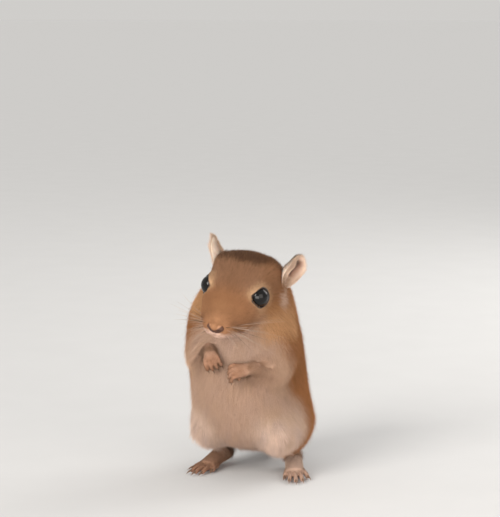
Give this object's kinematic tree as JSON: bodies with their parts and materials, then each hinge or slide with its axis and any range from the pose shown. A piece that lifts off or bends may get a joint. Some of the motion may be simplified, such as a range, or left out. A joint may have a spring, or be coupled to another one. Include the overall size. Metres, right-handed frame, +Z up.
{
  "type": "gerbil",
  "caption": "Golden Mongolian gerbil sitting up on its haunches with its forepaws held together, a still life-size model.",
  "frame": {"origin": "on the floor, under the middle of the animal's box", "axes": "+Z up; the body faces -Y, +X is the animal's own left side, and the tail lies back along +Y"},
  "size_m": [0.055, 0.1384, 0.0831],
  "materials": {
    "golden_coat": "short dry fur",
    "cream_coat": "short soft fur",
    "buff_coat": "very short fur over skin",
    "ear_skin": "thin skin with fine down",
    "tail_tuft": "bristly dark hair",
    "eye": "wet black"
  },
  "bodies": {
    "root": {"torso": "cream_coat", "neck": "cream_coat", "head": "golden_coat", "eye_left": "eye", "eye_right": "eye", "ear_left": "ear_skin", "ear_right": "ear_skin", "upper_arm_left": "cream_coat", "upper_arm_right": "cream_coat", "forearm_left": "cream_coat", "forearm_right": "cream_coat", "forepaw_left": "buff_coat", "forepaw_right": "buff_coat", "thigh_left": "cream_coat", "thigh_right": "cream_coat", "shank_left": "buff_coat", "shank_right": "buff_coat", "hind_foot_left": "buff_coat", "hind_foot_right": "buff_coat", "tail_root": "golden_coat", "tail_middle": "golden_coat", "tail_end": "golden_coat", "tail_tuft": "tail_tuft"}
  },
  "joints": []
}
